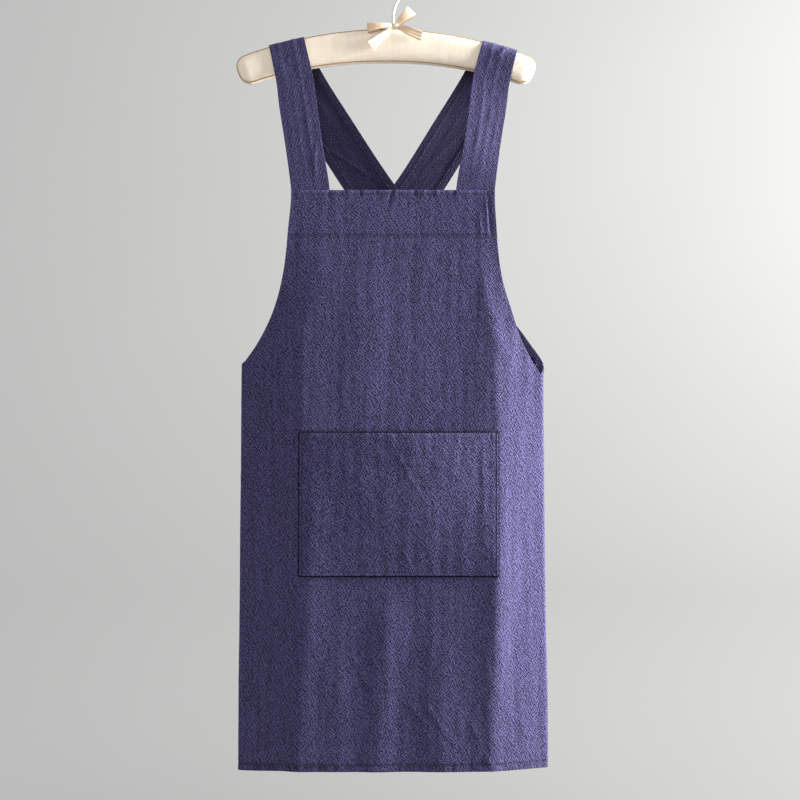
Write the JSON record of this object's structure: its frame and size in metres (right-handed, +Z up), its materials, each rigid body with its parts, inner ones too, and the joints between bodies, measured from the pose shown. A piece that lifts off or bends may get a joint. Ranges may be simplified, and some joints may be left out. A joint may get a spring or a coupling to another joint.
{
  "type": "kitchen apron on a padded hanger",
  "caption": "Cross-back kitchen apron in crinkled indigo cloth, with wide straps, a curved bib, a patch pocket and open back flaps, hung on a padded hanger with a hook and bow.",
  "frame": {"origin": "the inside top of the hook's curl, where a rail or peg carries the hanger", "axes": "+Z up, -Y out of the apron's front, +X to the right of someone who looks at the front"},
  "size_m": [0.3986, 0.0637, 1.0269],
  "materials": {
    "indigo_cloth": "crinkled cotton and linen, matt",
    "cream_cloth": "plain woven cover over padding",
    "cream_ribbon": "satin ribbon",
    "hook_wire": "satin white paint"
  },
  "bodies": {
    "root": {"apron_body": "indigo_cloth", "bib_facing": "indigo_cloth", "front_pocket": "indigo_cloth", "strap_left": "indigo_cloth", "strap_right": "indigo_cloth", "hanger_bar": "cream_cloth", "hanger_hook": "hook_wire", "ribbon_bow": "cream_ribbon"}
  },
  "joints": []
}
